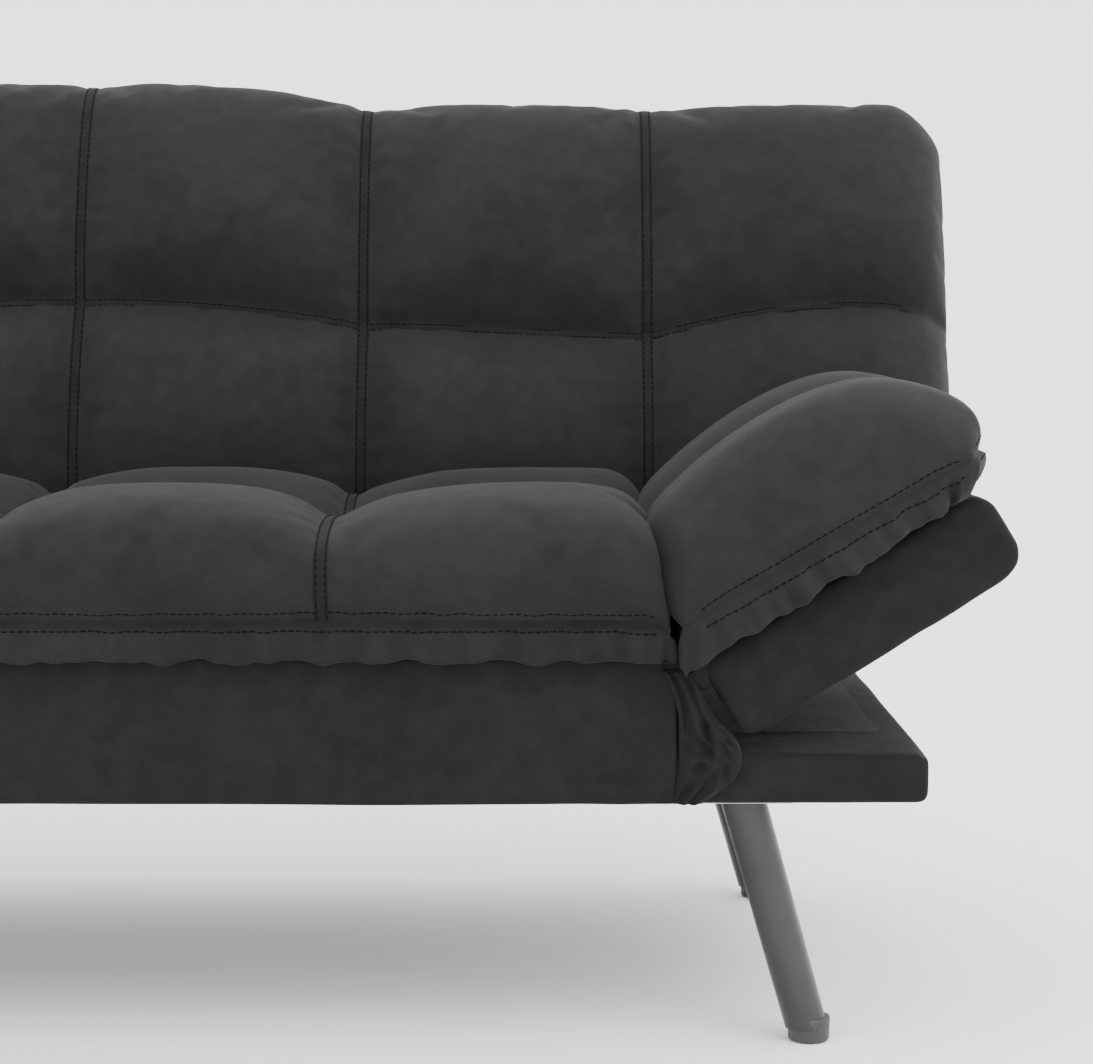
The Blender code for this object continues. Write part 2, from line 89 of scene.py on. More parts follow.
def unit(vectors):
    return vectors / np.maximum(np.linalg.norm(vectors, axis=-1, keepdims=True), 1e-9)


def spline(points, count):
    """A smooth curve through points, resampled at even spacing (Catmull-Rom)."""
    pts = np.array(points, float)
    ends = np.vstack([2 * pts[0] - pts[1], pts, 2 * pts[-1] - pts[-2]])
    t = np.linspace(0, 1, 24, endpoint=False)[:, None]
    runs = []
    for i in range(len(pts) - 1):
        a, b, c, d = ends[i:i + 4]
        runs.append(0.5 * (2 * b + (c - a) * t + (2 * a - 5 * b + 4 * c - d) * t**2
                           + (3 * b - a - 3 * c + d) * t**3))
    fine = np.vstack(runs + [pts[-1:]])
    along = lengths_along(fine)
    wanted = np.linspace(0, along[-1], count)
    return np.stack([np.interp(wanted, along, fine[:, k]) for k in range(fine.shape[1])], axis=1)


def smooth(x):
    x = np.clip(x, 0, 1)
    return x * x * (3 - 2 * x)


def ripple(x, seed, waves, longest):
    """A repeatable wavy line: a few sines of falling length and random phase, about -1 to 1."""
    rng = np.random.default_rng(seed)
    total = np.zeros_like(x)
    weight = 0.0
    for k in range(waves):
        length = longest * (WAVE_FALL ** k)
        share = WAVE_FADE ** k
        total += share * np.sin(math.tau * x / length + rng.uniform(0, math.tau))
        weight += share
    return total / weight * WAVE_GAIN


def mesh_object(name, points, faces):
    mesh = bpy.data.meshes.new(name)
    mesh.from_pydata([tuple(p) for p in points], [], [tuple(f) for f in faces])
    mesh.validate()
    mesh.update()
    obj = bpy.data.objects.new(name, mesh)
    bpy.context.scene.collection.objects.link(obj)
    mesh.shade_smooth()
    return obj


def face_out(obj):
    shape = bmesh.new()
    shape.from_mesh(obj.data)
    bmesh.ops.recalc_face_normals(shape, faces=shape.faces)
    shape.to_mesh(obj.data)
    shape.free()


def seat_place(points):
    """Seat-panel points (x, distance behind the pad front, height) to the row frame."""
    p = np.asarray(points, float)
    return np.stack([p[:, 0], p[:, 1] + FRONT, p[:, 2]], axis=1)


def back_place(points):
    """Backrest points (x, distance up the panel, height over it) to the row frame."""
    p = np.asarray(points, float)
    c, s = math.cos(BACK_REST), math.sin(BACK_REST)
    y = BACK_PIVOT.y + p[:, 1] * c - p[:, 2] * s
    z = BACK_PIVOT.z + p[:, 1] * s + p[:, 2] * c
    return np.stack([p[:, 0], y, z], axis=1)


def arm_place(side):
    """Arm points (distance out from the hinge, distance behind the pad front, height)."""
    def place(points):
        p = np.asarray(points, float)
        c, s = math.cos(ARM_REST), math.sin(ARM_REST)
        x = side * (ARM_PIVOT.x + p[:, 0] * c - p[:, 2] * s)
        z = ARM_PIVOT.z + p[:, 0] * s + p[:, 2] * c
        return np.stack([x, p[:, 1] + FRONT, z], axis=1)
    return place


# ---- quilted pads

class Quilt:
    """A quilted top: sections along one direction, stations across it.

    sections: seam, crown and end, each (count, 2) points of (along, height).
    stations: rows of (across, rise, bulge, pinned), where rise goes from 0 on the end
    seam to 1, and bulge from 0 on a seam to 1 in the middle of a pillow.
    """

    def __init__(self, name, sections, stations, pinned_rows, place, column_seams, swap=False, warp=None):
        self.name = name
        self.seam, self.crown, self.end = sections
        self.stations = np.array(stations, float)
        self.pinned_rows = pinned_rows
        self.column_seams = column_seams
        self.place = place
        self.swap = swap
        self.warp = warp

    def section(self, across, rise, bulge):
        body = self.seam + (self.crown - self.seam) * bulge
        line = self.end + (body - self.end) * rise
        points = np.stack([np.full(len(line), across), line[:, 0], line[:, 1]], axis=1)
        return self.bent(points)

    def bent(self, points):
        if self.warp is not None:
            points = self.warp(points)
        if self.swap:
            points = points[:, [1, 0, 2]]
        return points

    def grid(self):
        """The quilted surface, with small puckers running out of every seam."""
        grid = np.stack([self.section(*row[:3]) for row in self.stations])
        tangent = np.gradient(grid, axis=1)
        across = np.gradient(grid, axis=0)
        normal = unit(np.cross(across, tangent))
        if self.swap:
            normal = -normal
        along = lengths_along(self.crown)
        place = self.stations[:, 0]
        lift = np.zeros(grid.shape[:2])
        for number, seam in enumerate(self.column_seams):
            off = np.abs(place - seam)
            near = np.exp(-off / PUCKER_REACH) * smooth((off - STRIP) / SEAM_CLEAR)
            lift += near[:, None] * ripple(along, SEAM_SEED + number, 4, SEAM_WAVE)[None, :]
        for number, row in enumerate([0, *self.pinned_rows, len(along) - 1]):
            off = np.abs(along - along[row])
            near = np.exp(-off / PUCKER_REACH) * smooth(off / ROW_CLEAR)
            lift += near[None, :] * ripple(place, ROW_SEED + number, 5, ROW_WAVE)[:, None]
        return grid + normal * (PUCKER * lift)[:, :, None]

    def build(self, skirt):
        """The closed pad: the quilted top, a skirt of rings below its edge, and a floor."""
        grid = self.grid()
        rows, count = grid.shape[:2]
        index = np.arange(rows * count).reshape(rows, count)
        points = [grid.reshape(-1, 3)]
        faces = []
        for i in range(rows - 1):
            for j in range(count - 1):
                faces.append((index[i, j], index[i + 1, j], index[i + 1, j + 1], index[i, j + 1]))
        loop = list(index[:, 0]) + list(index[-1, 1:]) + list(index[-2::-1, -1]) + list(index[0, -2:0:-1])
        edge = grid.reshape(-1, 3)[loop]
        rings = skirt(edge)
        start = rows * count
        above = loop
        for ring in rings:
            below = list(range(start, start + len(loop)))
            points.append(ring)
            for k in range(len(loop)):
                nxt = (k + 1) % len(loop)
                faces.append((above[k], above[nxt], below[nxt], below[k]))
            above = below
            start += len(loop)
        flat = np.vstack(points)
        obj = mesh_object(self.name, self.place(flat), faces)
        face_out(obj)
        pins = obj.vertex_groups.new(name="pins")
        held = set(loop) | set(range(rows * count, len(flat)))
        for i, row in enumerate(self.stations):
            if row[3]:
                held |= set(index[i])
        for j in self.pinned_rows:
            held |= set(index[:, j])
        pins.add([int(v) for v in held], 1.0, "REPLACE")
        return obj


def outline_normals(edge):
    """Unit vectors out of a closed loop, in the plane of its first two coordinates."""
    ahead = np.roll(edge, -1, axis=0) - np.roll(edge, 1, axis=0)
    out = unit(np.stack([ahead[:, 1], -ahead[:, 0]], axis=1))
    centre = edge[:, :2].mean(axis=0)
    if ((edge[:, :2] - centre) * out).sum() < 0:
        out = -out
    return out


def arc_along(edge):
    steps = np.linalg.norm(np.diff(edge, axis=0, append=edge[:1]), axis=1)
    return np.concatenate([[0], np.cumsum(steps)[:-1]])


BAND_WAVES, BAND_FOLDS = (7, 0.085), (5, 0.044)  # a gathered band: number of waves and the longest one
BAND_WAVER = 0.0052  # how far its lower edge waves up and down
BAND_DROP = 0.002  # where it starts, below the edge of the pad
FOLD_POWER, FOLD_LEAN = 0.8, 0.3  # sharpness of its folds, and how far it leans in
GROOVE_DEPTH = 0.0015
FLOOR_LIFT = 0.002  # the tucked edge lies this far over the floor


def skirt_of(floor, depth_rings, puff, gather, seed, tuck=0.02, groove=0.0035, drift=None):
    """Rings of a gathered band from the edge seam down to floor, then tucked under."""
    def make(edge):
        out = outline_normals(edge)
        run = arc_along(edge)
        waves = ripple(run, seed, *BAND_WAVES)
        folds = ripple(run, seed + 1, *BAND_FOLDS)
        folds = np.sign(folds) * np.abs(folds) ** FOLD_POWER
        sunk = edge.copy()
        sunk[:, :2] -= out * groove
        sunk[:, 2] -= GROOVE_DEPTH
        rings = [sunk]
        for k in range(1, depth_rings + 1):
            t = k / depth_rings
            ring = edge.copy()
            low = floor + BAND_WAVER * waves
            ring[:, 2] = edge[:, 2] - BAND_DROP + (low - edge[:, 2] + BAND_DROP) * t
            swell = puff * math.sin(math.pi * min(t * 0.9 + 0.05, 1.0))
            push = swell + gather * (folds * t ** 0.6 - FOLD_LEAN * t)
            ring[:, :2] += out * push[:, None]
            if drift is not None:
                ring = drift(ring, t)
            rings.append(ring)
        under = rings[-1].copy()
        under[:, :2] -= out * tuck
        under[:, 2] = floor + FLOOR_LIFT
        rings.append(under)
        return rings
    return make


def fill_floor(obj):
    """Closes the underside of a pad with one flat cap."""
    shape = bmesh.new()
    shape.from_mesh(obj.data)
    rim = [edge for edge in shape.edges if edge.is_boundary]
    caps = bmesh.ops.holes_fill(shape, edges=rim, sides=0)["faces"]
    bmesh.ops.triangulate(shape, faces=caps)
    bmesh.ops.recalc_face_normals(shape, faces=shape.faces)
    shape.to_mesh(obj.data)
    shape.free()
    obj.data.shade_smooth()


SIM_FRAMES = 20


def inflate(obj, pressure, growth, cap):
    """Cloth simulation of the cover, held at its seams, applied to the mesh up to cap metres."""
    before = np.zeros(len(obj.data.vertices) * 3)
    obj.data.vertices.foreach_get("co", before)
    modifier = obj.modifiers.new("cloth", "CLOTH")
    settings = modifier.settings
    settings.quality = 6
    settings.mass = 0.25
    settings.tension_stiffness = 18
    settings.compression_stiffness = 14
    settings.shear_stiffness = 6
    settings.bending_stiffness = 0.6
    settings.use_pressure = True
    settings.uniform_pressure_force = pressure
    settings.shrink_min = -growth
    settings.vertex_group_mass = "pins"
    settings.effector_weights.gravity = 0
    modifier.collision_settings.use_collision = False
    modifier.collision_settings.use_self_collision = False
    modifier.point_cache.frame_start = 1
    modifier.point_cache.frame_end = SIM_FRAMES
    scene = bpy.context.scene
    for number in range(1, SIM_FRAMES + 1):
        scene.frame_set(number)
    graph = bpy.context.evaluated_depsgraph_get()
    after = np.zeros(len(before))
    obj.evaluated_get(graph).data.vertices.foreach_get("co", after)
    obj.modifiers.remove(modifier)
    scene.frame_set(1)
    move = (after - before).reshape(-1, 3)
    far = np.linalg.norm(move, axis=1, keepdims=True)
    move *= np.minimum(1, cap / np.maximum(far, 1e-9))
    obj.data.vertices.foreach_set("co", (before.reshape(-1, 3) + move).ravel())
    obj.data.update()


def finish_soft(obj):
    """One level of smooth subdivision, applied."""
    modifier = obj.modifiers.new("fine", "SUBSURF")
    modifier.levels = 1
    modifier.render_levels = 1
    graph = bpy.context.evaluated_depsgraph_get()
    mesh = bpy.data.meshes.new_from_object(obj.evaluated_get(graph))
    obj.modifiers.clear()
    old = obj.data
    obj.data = mesh
    bpy.data.meshes.remove(old)
    obj.data.shade_smooth()


def edge_grid(low, high, radius, spacing):
    count = max(int((high - low - 2 * radius) / spacing), 1) + 1
    inner = np.linspace(low + radius, high - radius, count)
    turn = radius * np.array([0, 0.3, 0.6])
    return np.concatenate([low + turn, inner, (high - turn)[::-1]])


def soft_box(name, low, high, radius, spacing, place, shape=None):
    """An upholstered box: rounded edges on an even grid, reshaped by a function, then placed."""
    axes = [edge_grid(low[k], high[k], radius, spacing) for k in range(3)]
    found, points, faces = {}, [], []
    for axis in range(3):
        a, b = [k for k in range(3) if k != axis]
        for end in (0, len(axes[axis]) - 1):
            for i in range(len(axes[a]) - 1):
                for j in range(len(axes[b]) - 1):
                    quad = []
                    for di, dj in ((0, 0), (1, 0), (1, 1), (0, 1)):
                        key = [0, 0, 0]
                        key[axis], key[a], key[b] = end, i + di, j + dj
                        key = tuple(key)
                        if key not in found:
                            found[key] = len(points)
                            points.append([axes[k][key[k]] for k in range(3)])
                        quad.append(found[key])
                    faces.append(quad)
    points = np.array(points)
    core = np.clip(points, np.array(low) + radius, np.array(high) - radius)
    out = unit(points - core)
    points = core + out * radius
    if shape is not None:
        points = shape(points, out)
    obj = mesh_object(name, place(points), faces)
    face_out(obj)
    finish_soft(obj)
    return obj


def crumple(points, stretch, seed):
    """Repeatable smooth noise at each point, about -1 to 1."""
    shift = Vector((seed * 3.1, seed * 1.7, seed * 2.3))
    scaled = np.asarray(points) * np.array(stretch)
    return np.array([noise_field.noise(Vector(p) + shift) for p in scaled]) * 1.8


def surface_of(obj):
    return BVHTree.FromObject(obj, bpy.context.evaluated_depsgraph_get())


def snapped(tree, path):
    """The path moved onto a surface, with the surface's normals."""
    spots, normals = [], []
    for point in path:
        spot, normal, _, _ = tree.find_nearest(Vector(point))
        spots.append(spot)
        normals.append(normal)
    return np.array(spots), np.array(normals)


def frames_along(path, normals):
    """Unit vectors at each point of a path: along it, out of the surface and across it."""
    tangent = unit(np.gradient(path, axis=0))
    normals = normals - (normals * tangent).sum(axis=1, keepdims=True) * tangent
    for _ in range(3):
        normals[1:-1] = (normals[:-2] + normals[1:-1] + normals[2:]) / 3
    normals = unit(normals)
    return tangent, normals, np.cross(tangent, normals)


def tube_faces(rings, sides, start=0):
    """Faces of a closed tube whose points run ring by ring."""
    faces = []
    for ring in range(rings - 1):
        a = start + ring * sides
        for turn in range(sides):
            following = (turn + 1) % sides
            faces.append((a + turn, a + sides + turn, a + sides + following, a + following))
    last = start + (rings - 1) * sides
    faces.append(tuple(range(start, start + sides)))
    faces.append(tuple(range(last, last + sides))[::-1])
    return faces


TAPE_OUTLINE = ((-6.0, -1.5), (-6.2, 0.3), (-5.2, 1.1), (-4.2, 0.8), (-2.6, 1.3), (0.0, 1.4),
                (2.6, 1.3), (4.2, 0.8), (5.2, 1.1), (6.2, 0.3), (6.0, -1.5))  # across, height, mm


def tape_mesh(path, normals, scale):
    """Points and faces of a flat seam tape, with a groove under each stitch row."""
    _, up, across = frames_along(path, normals)
    outline = np.array(TAPE_OUTLINE) * 0.001 * scale
    points = (path[:, None] + across[:, None] * outline[None, :, :1]
              + up[:, None] * outline[None, :, 1:])
    return points.reshape(-1, 3), tube_faces(len(path), len(outline))


STITCH_STEP = 0.0066
STITCH_LENGTH = 0.0048
STITCH_RADIUS = 0.00062
STITCH_SIDES = 6
STITCH_OFFSET = 0.0042  # from the middle of a tape to each of its stitch rows
STITCH_ON_TAPE, STITCH_ON_CLOTH = 0.0011, 0.0002  # height over the surface
STITCH_RINGS = ((-0.5, 0.35), (-0.42, 0.85), (0.0, 1.0), (0.42, 0.85), (0.5, 0.35))


def stitch_mesh(path, normals, side, lift):
    """Points and faces of a row of lock stitches beside a path."""
    tangent, up, across = frames_along(path, normals)
    line = path + across * side + up * lift
    along = lengths_along(line)
    points, faces = [], []
    for number in range(int(along[-1] / STITCH_STEP)):
        where = (number + 0.5) * STITCH_STEP
        mid = np.array([np.interp(where, along, line[:, k]) for k in range(3)])
        ahead = np.array([np.interp(where, along, tangent[:, k]) for k in range(3)])
        rise = np.array([np.interp(where, along, up[:, k]) for k in range(3)])
        wide = np.cross(ahead, rise)
        faces += tube_faces(len(STITCH_RINGS), STITCH_SIDES, len(points))
        for share, size in STITCH_RINGS:
            for turn in range(STITCH_SIDES):
                angle = math.tau * turn / STITCH_SIDES
                spot = wide * math.cos(angle) + rise * math.sin(angle)
                points.append(mid + ahead * share * STITCH_LENGTH + spot * STITCH_RADIUS * size)
    return np.array(points).reshape(-1, 3), faces


def gathered(name, parts, material):
    """One object from several (points, faces) parts."""
    points, faces, start = [], [], 0
    for part_points, part_faces in parts:
        points.append(part_points)
        faces += [tuple(v + start for v in face) for face in part_faces]
        start += len(part_points)
    obj = mesh_object(name, np.vstack(points), faces)
    face_out(obj)
    return paint(obj, material)


def sew_pad(obj, tapes, rows, follow):
    """Tapes (path, scale) with two stitch rows, and single stitch rows, on a finished pad."""
    tree = surface_of(obj)
    tape_parts, thread_parts = [], []
    for path, scale in tapes:
        spots, normals = snapped(tree, path)
        tape_parts.append(tape_mesh(spots, normals, scale))
        for side in (-STITCH_OFFSET, STITCH_OFFSET):
            thread_parts.append(stitch_mesh(spots, normals, side * scale, STITCH_ON_TAPE * scale))
    for path in rows:
        spots, normals = snapped(tree, path)
        thread_parts.append(stitch_mesh(spots, normals, 0.0, STITCH_ON_CLOTH))
    made = [gathered(obj.name + "_stitches", thread_parts, THREAD)]
    if tape_parts:
        # the tapes take the darker suede copy: painted shade of the seam grooves
        made.append(gathered(obj.name + "_tape", tape_parts, SHADED_TAPE_CLOTH))
    for piece in made:
        follow(piece)


CROWN_SHARE, CROWN_POWER = 0.82, 3.0  # the slow part of a pillow's height
SWELL_SHARE, SWELL_WIDTH = 0.18, 0.10  # the quick part beside a seam
OUTER_START, OUTER_RUN = 0.35, 0.65  # an outer pillow falls only over the part next to its seam


def pillow(u):
    """Height across a pillow: a quick swell beside each seam, then a slow crown."""
    off = abs(2 * u - 1)
    return CROWN_SHARE * (1 - off ** CROWN_POWER) + SWELL_SHARE * min((1 - off) / SWELL_WIDTH, 1.0)


def end_rise(distance, radius, power=2.5):
    t = min(distance / radius, 1.0)
    return (1 - (1 - t) ** power) ** (1 / power)


def column_stations(seams, end, radius, spacing):
    """Stations across a pad with taped seams at the given places, symmetric about 0."""
    places = []
    edges = [-end] + list(seams) + [end]
    for k in range(len(edges) - 1):
        low = edges[k] + (STRIP if k > 0 else 0)
        high = edges[k + 1] - (STRIP if k < len(edges) - 2 else 0)
        count = max(int(round((high - low) / spacing)), 4)
        for i in range(count + 1):
            x = low + (high - low) * i / count
            outer_low, outer_high = k == 0, k == len(edges) - 2
            u = i / count
            if outer_low:
                bulge = 1 - (max(0.0, u - OUTER_START) / OUTER_RUN) ** 3
            elif outer_high:
                bulge = 1 - (max(0.0, OUTER_RUN - u) / OUTER_RUN) ** 3
            else:
                bulge = pillow(u)
            rise = end_rise(end - abs(x), radius)
            on_seam = (i == 0 and not outer_low) or (i == count and not outer_high)
            places.append((x, rise, bulge, on_seam or rise == 0))
        if k < len(edges) - 2:
            places.append((edges[k + 1], 1.0, 0.0, True))
    return places


def end_refined(stations, end, radius):
    """Adds stations close to the ends, where the surface turns down."""
    extra = []
    for x in (0.0012, 0.0035):
        for side in (-1, 1):
            extra.append((side * (end - x), end_rise(x, radius), 1.0, False))
    return sorted(stations + extra)


# ---- materials

def node_tree(name):
    material = bpy.data.materials.new(name)
    material.use_nodes = True
    tree = material.node_tree
    return material, tree, tree.nodes["Principled BSDF"]


def noise(tree, scale, detail=3.0, rough=0.55, coords=None, distortion=0.0):
    node = tree.nodes.new("ShaderNodeTexNoise")
    node.inputs["Scale"].default_value = scale
    node.inputs["Detail"].default_value = detail
    node.inputs["Roughness"].default_value = rough
    node.inputs["Distortion"].default_value = distortion
    if coords is not None:
        tree.links.new(coords, node.inputs["Vector"])
    return node.outputs["Fac"]


def ramp(tree, value, stops):
    node = tree.nodes.new("ShaderNodeValToRGB")
    while len(node.color_ramp.elements) < len(stops):
        node.color_ramp.elements.new(0.5)
    for element, (place, colour) in zip(node.color_ramp.elements, stops):
        element.position = place
        element.color = (*colour, 1.0) if len(colour) == 3 else (colour[0],) * 3 + (1.0,)
    tree.links.new(value, node.inputs["Fac"])
    return node.outputs["Color"]


def bump(tree, height, strength, distance, normal=None):
    node = tree.nodes.new("ShaderNodeBump")
    node.inputs["Strength"].default_value = strength
    node.inputs["Distance"].default_value = distance
    tree.links.new(height, node.inputs["Height"])
    if normal is not None:
        tree.links.new(normal, node.inputs["Normal"])
    return node.outputs["Normal"]


def object_coords(tree):
    return tree.nodes.new("ShaderNodeTexCoord").outputs["Object"]


def suede(name, dark, light, sheen=0.35, mottle=9.0):
    """Microsuede: short brushed nap with soft patches of lighter and darker lie."""
    material, tree, shader = node_tree(name)
    coords = object_coords(tree)
    patches = ramp(tree, noise(tree, mottle, 3, 0.5, coords, 0.3), [(0.36, dark), (0.64, light)])
    grain = ramp(tree, noise(tree, 900, 2, 0.6, coords), [(0.3, (0.72,)), (0.7, (1.22,))])
    node = tree.nodes.new("ShaderNodeMix")
    node.data_type = "RGBA"
    node.blend_type = "MULTIPLY"
    factor, first, second, product = node.inputs[0], node.inputs[6], node.inputs[7], node.outputs[2]
    factor.default_value = 1.0
    tree.links.new(patches, first)
    tree.links.new(grain, second)
    tree.links.new(product, shader.inputs["Base Color"])
    rough = ramp(tree, noise(tree, 60, 2, 0.5, coords), [(0.3, (0.80,)), (0.7, (0.92,))])
    tree.links.new(rough, shader.inputs["Roughness"])
    soft = bump(tree, noise(tree, 38, 3, 0.5, coords, 0.4), 0.10, 0.004)
    fine = bump(tree, noise(tree, 1400, 2, 0.6, coords), 0.22, 0.0006, soft)
    tree.links.new(fine, shader.inputs["Normal"])
    shader.inputs["Sheen Weight"].default_value = sheen
    shader.inputs["Sheen Roughness"].default_value = 0.45
    shader.inputs["Sheen Tint"].default_value = (0.72, 0.71, 0.76, 1.0)
    shader.inputs["Specular IOR Level"].default_value = 0.18
    return material


def grained(name, tone, rough, relief, metallic=0.0, specular=0.5):
    """A material made of plain noise.

    tone, rough: a noise field (scale, detail, roughness) and two stops, or one roughness.
    relief: a noise field, then strength and distance of the bump.
    """
    material, tree, shader = node_tree(name)
    coords = object_coords(tree)
    for source, socket in ((tone, shader.inputs["Base Color"]), (rough, shader.inputs["Roughness"])):
        if isinstance(source, float):
            socket.default_value = source
        else:
            field, *stops = source
            tree.links.new(ramp(tree, noise(tree, *field, coords), stops), socket)
    field, strength, distance = relief
    tree.links.new(bump(tree, noise(tree, *field, coords), strength, distance), shader.inputs["Normal"])
    shader.inputs["Metallic"].default_value = metallic
    shader.inputs["Specular IOR Level"].default_value = specular
    return material


def timber(name, pale, deep):
    """Softwood: stretched growth rings along X with darker streaks."""
    material, tree, shader = node_tree(name)
    mapping = tree.nodes.new("ShaderNodeMapping")
    mapping.inputs["Scale"].default_value = (2.0, 26.0, 26.0)
    tree.links.new(object_coords(tree), mapping.inputs["Vector"])
    rings = noise(tree, 3.0, 5, 0.6, mapping.outputs["Vector"], 0.8)
    tree.links.new(ramp(tree, rings, [(0.3, deep), (0.65, pale)]), shader.inputs["Base Color"])
    tree.links.new(bump(tree, rings, 0.25, 0.001), shader.inputs["Normal"])
    rough = ramp(tree, rings, [(0.3, (0.62,)), (0.7, (0.78,))])
    tree.links.new(rough, shader.inputs["Roughness"])
    return material


def backdrop(name):
    material, tree, shader = node_tree(name)
    shader.inputs["Base Color"].default_value = (0.86, 0.86, 0.865, 1.0)
    shader.inputs["Roughness"].default_value = 0.9
    shader.inputs["Specular IOR Level"].default_value = 0.1
    return material


PAD_CLOTH = suede("pad_suede", (0.0060, 0.0056, 0.0066), (0.0086, 0.0081, 0.0094), 0.036)
# The covers' suede: the pad's microsuede painted darker, as painted shade on the covers' vertical faces and
# undersides.
SHADED_PANEL_CLOTH = suede("panel_suede", (0.0040, 0.0038, 0.0045), (0.0056, 0.0053, 0.0062), 0.016, 6.0)
# The seam tape's suede: the pad's microsuede painted darker still, as painted shade in the seam grooves.
SHADED_TAPE_CLOTH = suede("tape_suede_shaded", (0.0034, 0.0032, 0.0037), (0.0048, 0.0046, 0.0052), 0.014, 30.0)
LINING = grained("nonwoven_lining",
                 ((620, 3, 0.7), (0.35, (0.008, 0.008, 0.009)), (0.72, (0.060, 0.059, 0.062))),
                 ((80, 2, 0.5), (0.3, (0.86,)), (0.7, (0.97,))),
                 ((520, 3, 0.7), 0.5, 0.001), specular=0.15)
THREAD = grained("seam_thread",
                 ((1800, 1, 0.5), (0.3, (0.00126, 0.00126, 0.0014)), (0.7, (0.0018, 0.0018, 0.0020))),
                 0.85, ((1500, 1, 0.5), 0.3, 0.0004), specular=0.08)
LEG_COAT = grained("leg_coating",
                   ((14, 3, 0.5), (0.3, (0.026, 0.026, 0.028)), (0.7, (0.034, 0.034, 0.037))),
                   ((45, 3, 0.6), (0.3, (0.30,)), (0.7, (0.42,))),
                   ((700, 2, 0.5), 0.06, 0.0003), metallic=0.55)
PLASTIC = grained("foot_plastic",
                  ((300, 2, 0.5), (0.3, (0.014, 0.014, 0.015)), (0.7, (0.026, 0.026, 0.028))),
                  0.5, ((900, 2, 0.5), 0.2, 0.0004))
SOFTWOOD = timber("frame_softwood", (0.62, 0.45, 0.27), (0.42, 0.28, 0.15))
PLYWOOD = timber("deck_plywood", (0.66, 0.50, 0.32), (0.50, 0.36, 0.21))
STEEL = grained("hinge_steel",
                ((120, 4, 0.7), (0.3, (0.33, 0.33, 0.33)), (0.7, (0.50, 0.50, 0.49))),
                ((60, 3, 0.6), (0.3, (0.28,)), (0.7, (0.48,))),
                ((400, 2, 0.5), 0.1, 0.0003), metallic=1.0)

NODE_LOOKS = {
    "pad_suede": PAD_CLOTH,
    "panel_suede": SHADED_PANEL_CLOTH,
    "nonwoven_cloth": LINING,
    "frame_timber": SOFTWOOD,
    "deck_plywood": PLYWOOD,
    "leg_metal": LEG_COAT,
    "foot_plastic": PLASTIC,
    "hinge_steel": STEEL,
}


def paint(obj, material):
    obj.data.materials.clear()
    obj.data.materials.append(material)
    return obj


def dress(obj, material, slot, body, *stands_for):
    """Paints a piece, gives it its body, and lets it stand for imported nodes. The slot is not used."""
    paint(obj, material)
    if stands_for:
        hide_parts(*stands_for)
    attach(obj, body)


def paint_frame():
    for part in frame["record"]["subparts"]:
        paint(frame["nodes"][part["node"]], NODE_LOOKS[part["material_slot"]])


# ---- pads of this sofa

def seat_quilt():
    front_end, rear_end = 0.372, 0.385
    half = 0.586
    crown = [(0, .384), (-.017, .394), (-.0265, .416), (-.0245, .442), (-.009, .466), (.035, .481),
             (.10, .486), (.17, .481), (.222, .463), (.248, .436), (.262, .404)]
    seam = [(0, .384), (-.007, .394), (-.013, .413), (-.010, .436), (.010, .450), (.05, .459),
            (.10, .4615), (.17, .456), (.225, .440), (.250, .421), (.262, .400)]
    rear_crown = [(.262, .404), (.274, .436), (.298, .464), (.335, .482), (.372, .487), (.405, .482),
                  (.430, .466), (.452, .442), (.472, .412), (.484, .388)]
    rear_seam = [(.262, .400), (.278, .424), (.302, .444), (.335, .457), (.372, .462), (.405, .458),
                 (.430, .446), (.452, .428), (.472, .402), (.484, .388)]
    n1 = int(0.36 / CELL)
    n2 = int(0.30 / CELL)
    crown_line = np.vstack([spline(crown, n1), spline(rear_crown, n2)[1:]])
    seam_line = np.vstack([spline(seam, n1), spline(rear_seam, n2)[1:]])
    share = np.linspace(0, 1, len(crown_line))
    end = np.stack([0.003 + 0.480 * share, front_end + (rear_end - front_end) * share], axis=1)
    stations = end_refined(column_stations((-COLUMN, 0.0, COLUMN), half, 0.06, CELL), half, 0.06)
    return Quilt("seat_pad_cover", (seam_line, crown_line, end), stations, [n1 - 1], seat_place,
                 (-COLUMN, 0.0, COLUMN))


PAD_AIR, ARM_AIR = (4.5, 0.012, 0.018), (3.5, 0.010, 0.011)  # pressure, growth and farthest move


def finished_pad(quilt, skirt, air, node):
    """Builds, inflates and closes a pad that stands for a packed one."""
    obj = quilt.build(skirt)
    inflate(obj, *air)
    finish_soft(obj)
    fill_floor(obj)
    paint(obj, PAD_CLOTH)
    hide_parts(node)
    return obj


def build_seat_pad():
    quilt = seat_quilt()
    skirt = skirt_of(PANEL_TOP - 0.004, 7, 0.002, 0.0086, 11)
    obj = finished_pad(quilt, skirt, PAD_AIR, "seat_pad")
    columns = [(seat_place(quilt.section(seam, 1.0, 0.0)[:-2]), 1.0) for seam in quilt.column_seams]
    grid = quilt.grid()
    middle = grid[6:-6, quilt.pinned_rows[0]]
    front = grid[3:-3, 0]
    below = front - np.array([0, 0, 0.009])
    rows = [seat_place(middle + np.array([0, shift, 0])) for shift in (-0.005, 0.005)]
    rows += [seat_place(front + np.array([0, -0.01, 0.004])), seat_place(below + np.array([0, -0.01, 0]))]
    sew_pad(obj, columns, rows, blend_crease)
    blend_crease(obj)
    return obj


def blend_crease(obj):
    """Bakes an object's placement into its mesh."""
    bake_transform(obj)


